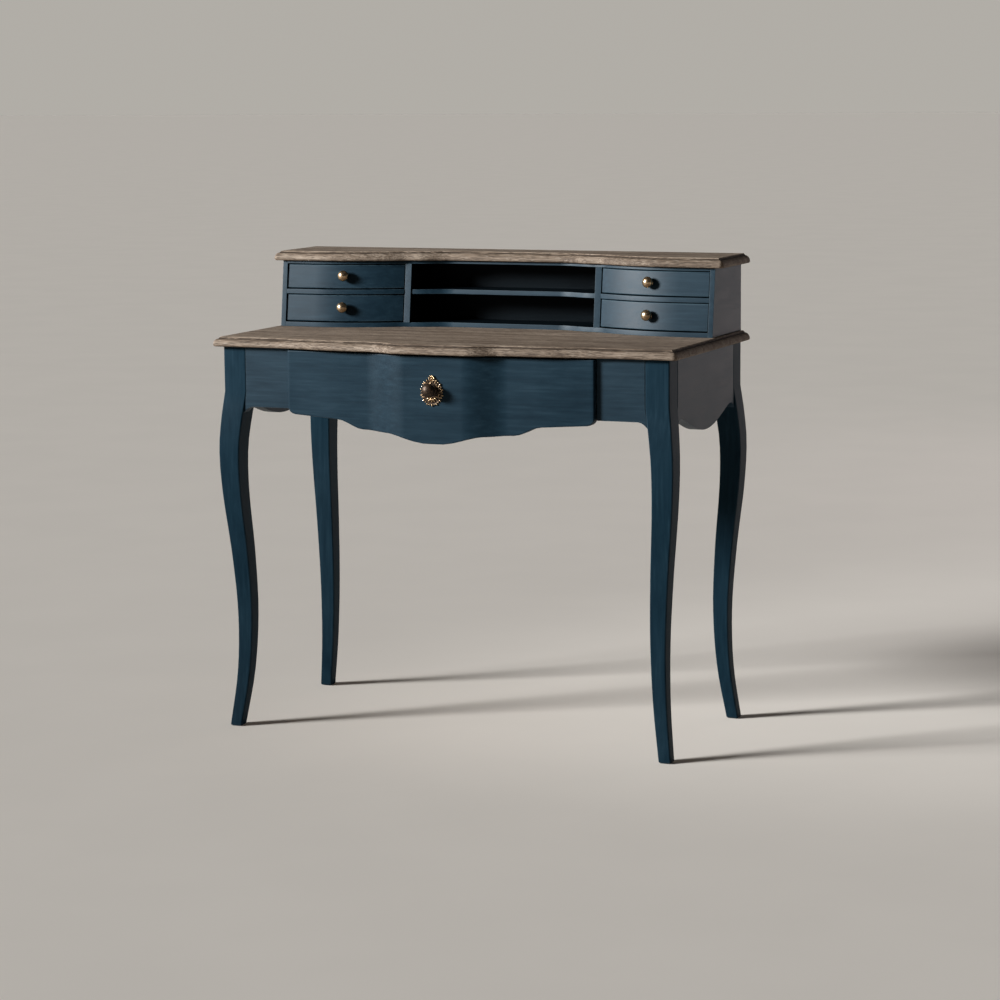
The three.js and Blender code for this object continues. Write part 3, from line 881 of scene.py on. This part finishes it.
scrollWork = {
    "count": 8,
    "radius": 3.2 * mm,
    "wire": 1.05 * mm,
    "wireSides": 8,
    "steps": 12,
    "sweep": 250,
    "inset": 6.6 * mm,
    "first": -18,  # degrees round the plate
    "share": 0.6,  # of the way round, which leaves the bottom to the leaves
    "facing": (-15, 125),  # they open in and out by turns
}


def scrollModel():
    shape = scrollWork
    makeActive(bpy.context.scene.camera)
    bpy.ops.mesh.primitive_circle_add(
        vertices=shape["wireSides"],
        radius=shape["wire"],
        fill_type="NGON",
        location=(shape["radius"], 0, 0),
        rotation=(math.pi / 2, 0, 0),
    )
    scroll = bpy.context.object
    scroll.name = "scrollModel"
    bpy.ops.object.transform_apply(location=True, rotation=True, scale=True)
    bpy.ops.object.mode_set(mode="EDIT")
    bpy.ops.mesh.select_all(action="SELECT")
    sweep = math.radians(shape["sweep"])
    bpy.ops.mesh.spin(steps=shape["steps"], angle=sweep, center=(0, 0, 0), axis=(0, 0, 1))
    bpy.ops.mesh.select_all(action="SELECT")
    bpy.ops.mesh.fill_holes(sides=0)
    bpy.ops.object.mode_set(mode="OBJECT")
    cleanMesh(scroll)
    scroll.data.materials.append(brassBrown)
    return scroll


def scrollParts(scroll):
    work = scrollWork
    step = fullTurn * work["share"] / (work["count"] - 1)
    parts = []
    for index in range(work["count"]):
        turn = math.radians(work["first"]) + step * index
        place = ringPlace(turn, work["inset"], pullSize["ground"])
        facing = turn + math.radians(work["facing"][index % 2])
        parts.append(setDown(scroll, f"scroll{index}", place, facing))
    return parts


def buildPull():
    ground = plateGround()
    bead = beadModel()
    scroll = scrollModel()
    parts = [ground] + rimParts(bead) + crestParts(bead) + bloomParts(bead) + scrollParts(scroll)
    for model in (bead, scroll):
        bpy.data.objects.remove(model)
    makeActive(ground)
    for part in parts:
        part.select_set(True)
    bpy.ops.object.join()
    return bpy.context.object


pullKnob = {
    "headRadius": 13 * mm,
    "flatness": 0.72,
    "foot": ((0, 0), (10.2, 0), (10.4, 0.9), (9.4, 1.8), (7.2, 2.4), (5.8, 4.2)),  # mm out, mm up
    "neckRadius": 5.6 * mm,
    "neckTop": 0.85,  # this share of the head's depth below its middle
    "steps": 40,
}


def pullKnobProfile(reach):
    size = pullKnob
    depth = size["headRadius"] * size["flatness"]
    middle = reach - depth
    profile = [(out * mm, up * mm) for out, up in size["foot"]]
    profile.append((size["neckRadius"], middle - depth * size["neckTop"]))
    profile += headPoints(size["headRadius"], depth, middle)
    profile.append((0, reach))
    return profile


def fitPull():
    low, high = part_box("pull_plate")
    centre = (low + high) / 2
    plate = buildPull()
    plate.rotation_euler = (math.pi / 2, 0, 0)
    plate.location = (centre.x, high.y, centre.z)
    settle(plate, pullSize["smooth"])
    plate.name = "pull_plate_cast"
    fitPiece(plate, "pull_plate")
    knobLow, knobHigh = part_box("pull_knob")
    profile = pullKnobProfile(knobHigh.y - knobLow.y)
    knob = turnPiece("pull_knob_turned", profile, pullKnob["steps"])
    knob.rotation_euler = (math.pi / 2, 0, 0)
    knob.location = (centre.x, knobHigh.y, (knobLow.z + knobHigh.z) / 2)
    knob.data.materials.append(brassDark)
    settle(knob, knobSmooth)
    fitPiece(knob, "pull_knob")
    print("ornate pull cast and fitted")


floorPlan = {
    "size": 160,
    "tone": (0.80, 0.735, 0.665),
    "dusk": 0.98,  # the darker clouds in the tone
    "clouds": 3,  # in a metre
    "roughness": 0.85,
    "shine": 0.1,
    "relief": (0.0002, 0.1),
}


def layFloor():
    plan = floorPlan
    makeActive(bpy.context.scene.camera)
    bpy.ops.mesh.primitive_plane_add(size=plan["size"])
    floor = bpy.context.object
    floor.name = "floor"
    material, start, place = startFinish("paleFloor")
    clouds = noise(place, plan["clouds"], 3, 0.5)
    darker = tint(plan["tone"], plan["dusk"])
    parts = {
        "Base Color": clouds.between(0.3, 0.7).mixed(darker, plan["tone"]),
        "Roughness": plan["roughness"],
        "Specular IOR Level": plan["shine"],
    }
    floor.data.materials.append(closeFinish(material, start, parts, clouds, *plan["relief"]))
    print("floor laid")


standCamera()
paintRoom()
lightRoom()
layFloor()
dressAllWood()
fitKnobs()
fitPull()
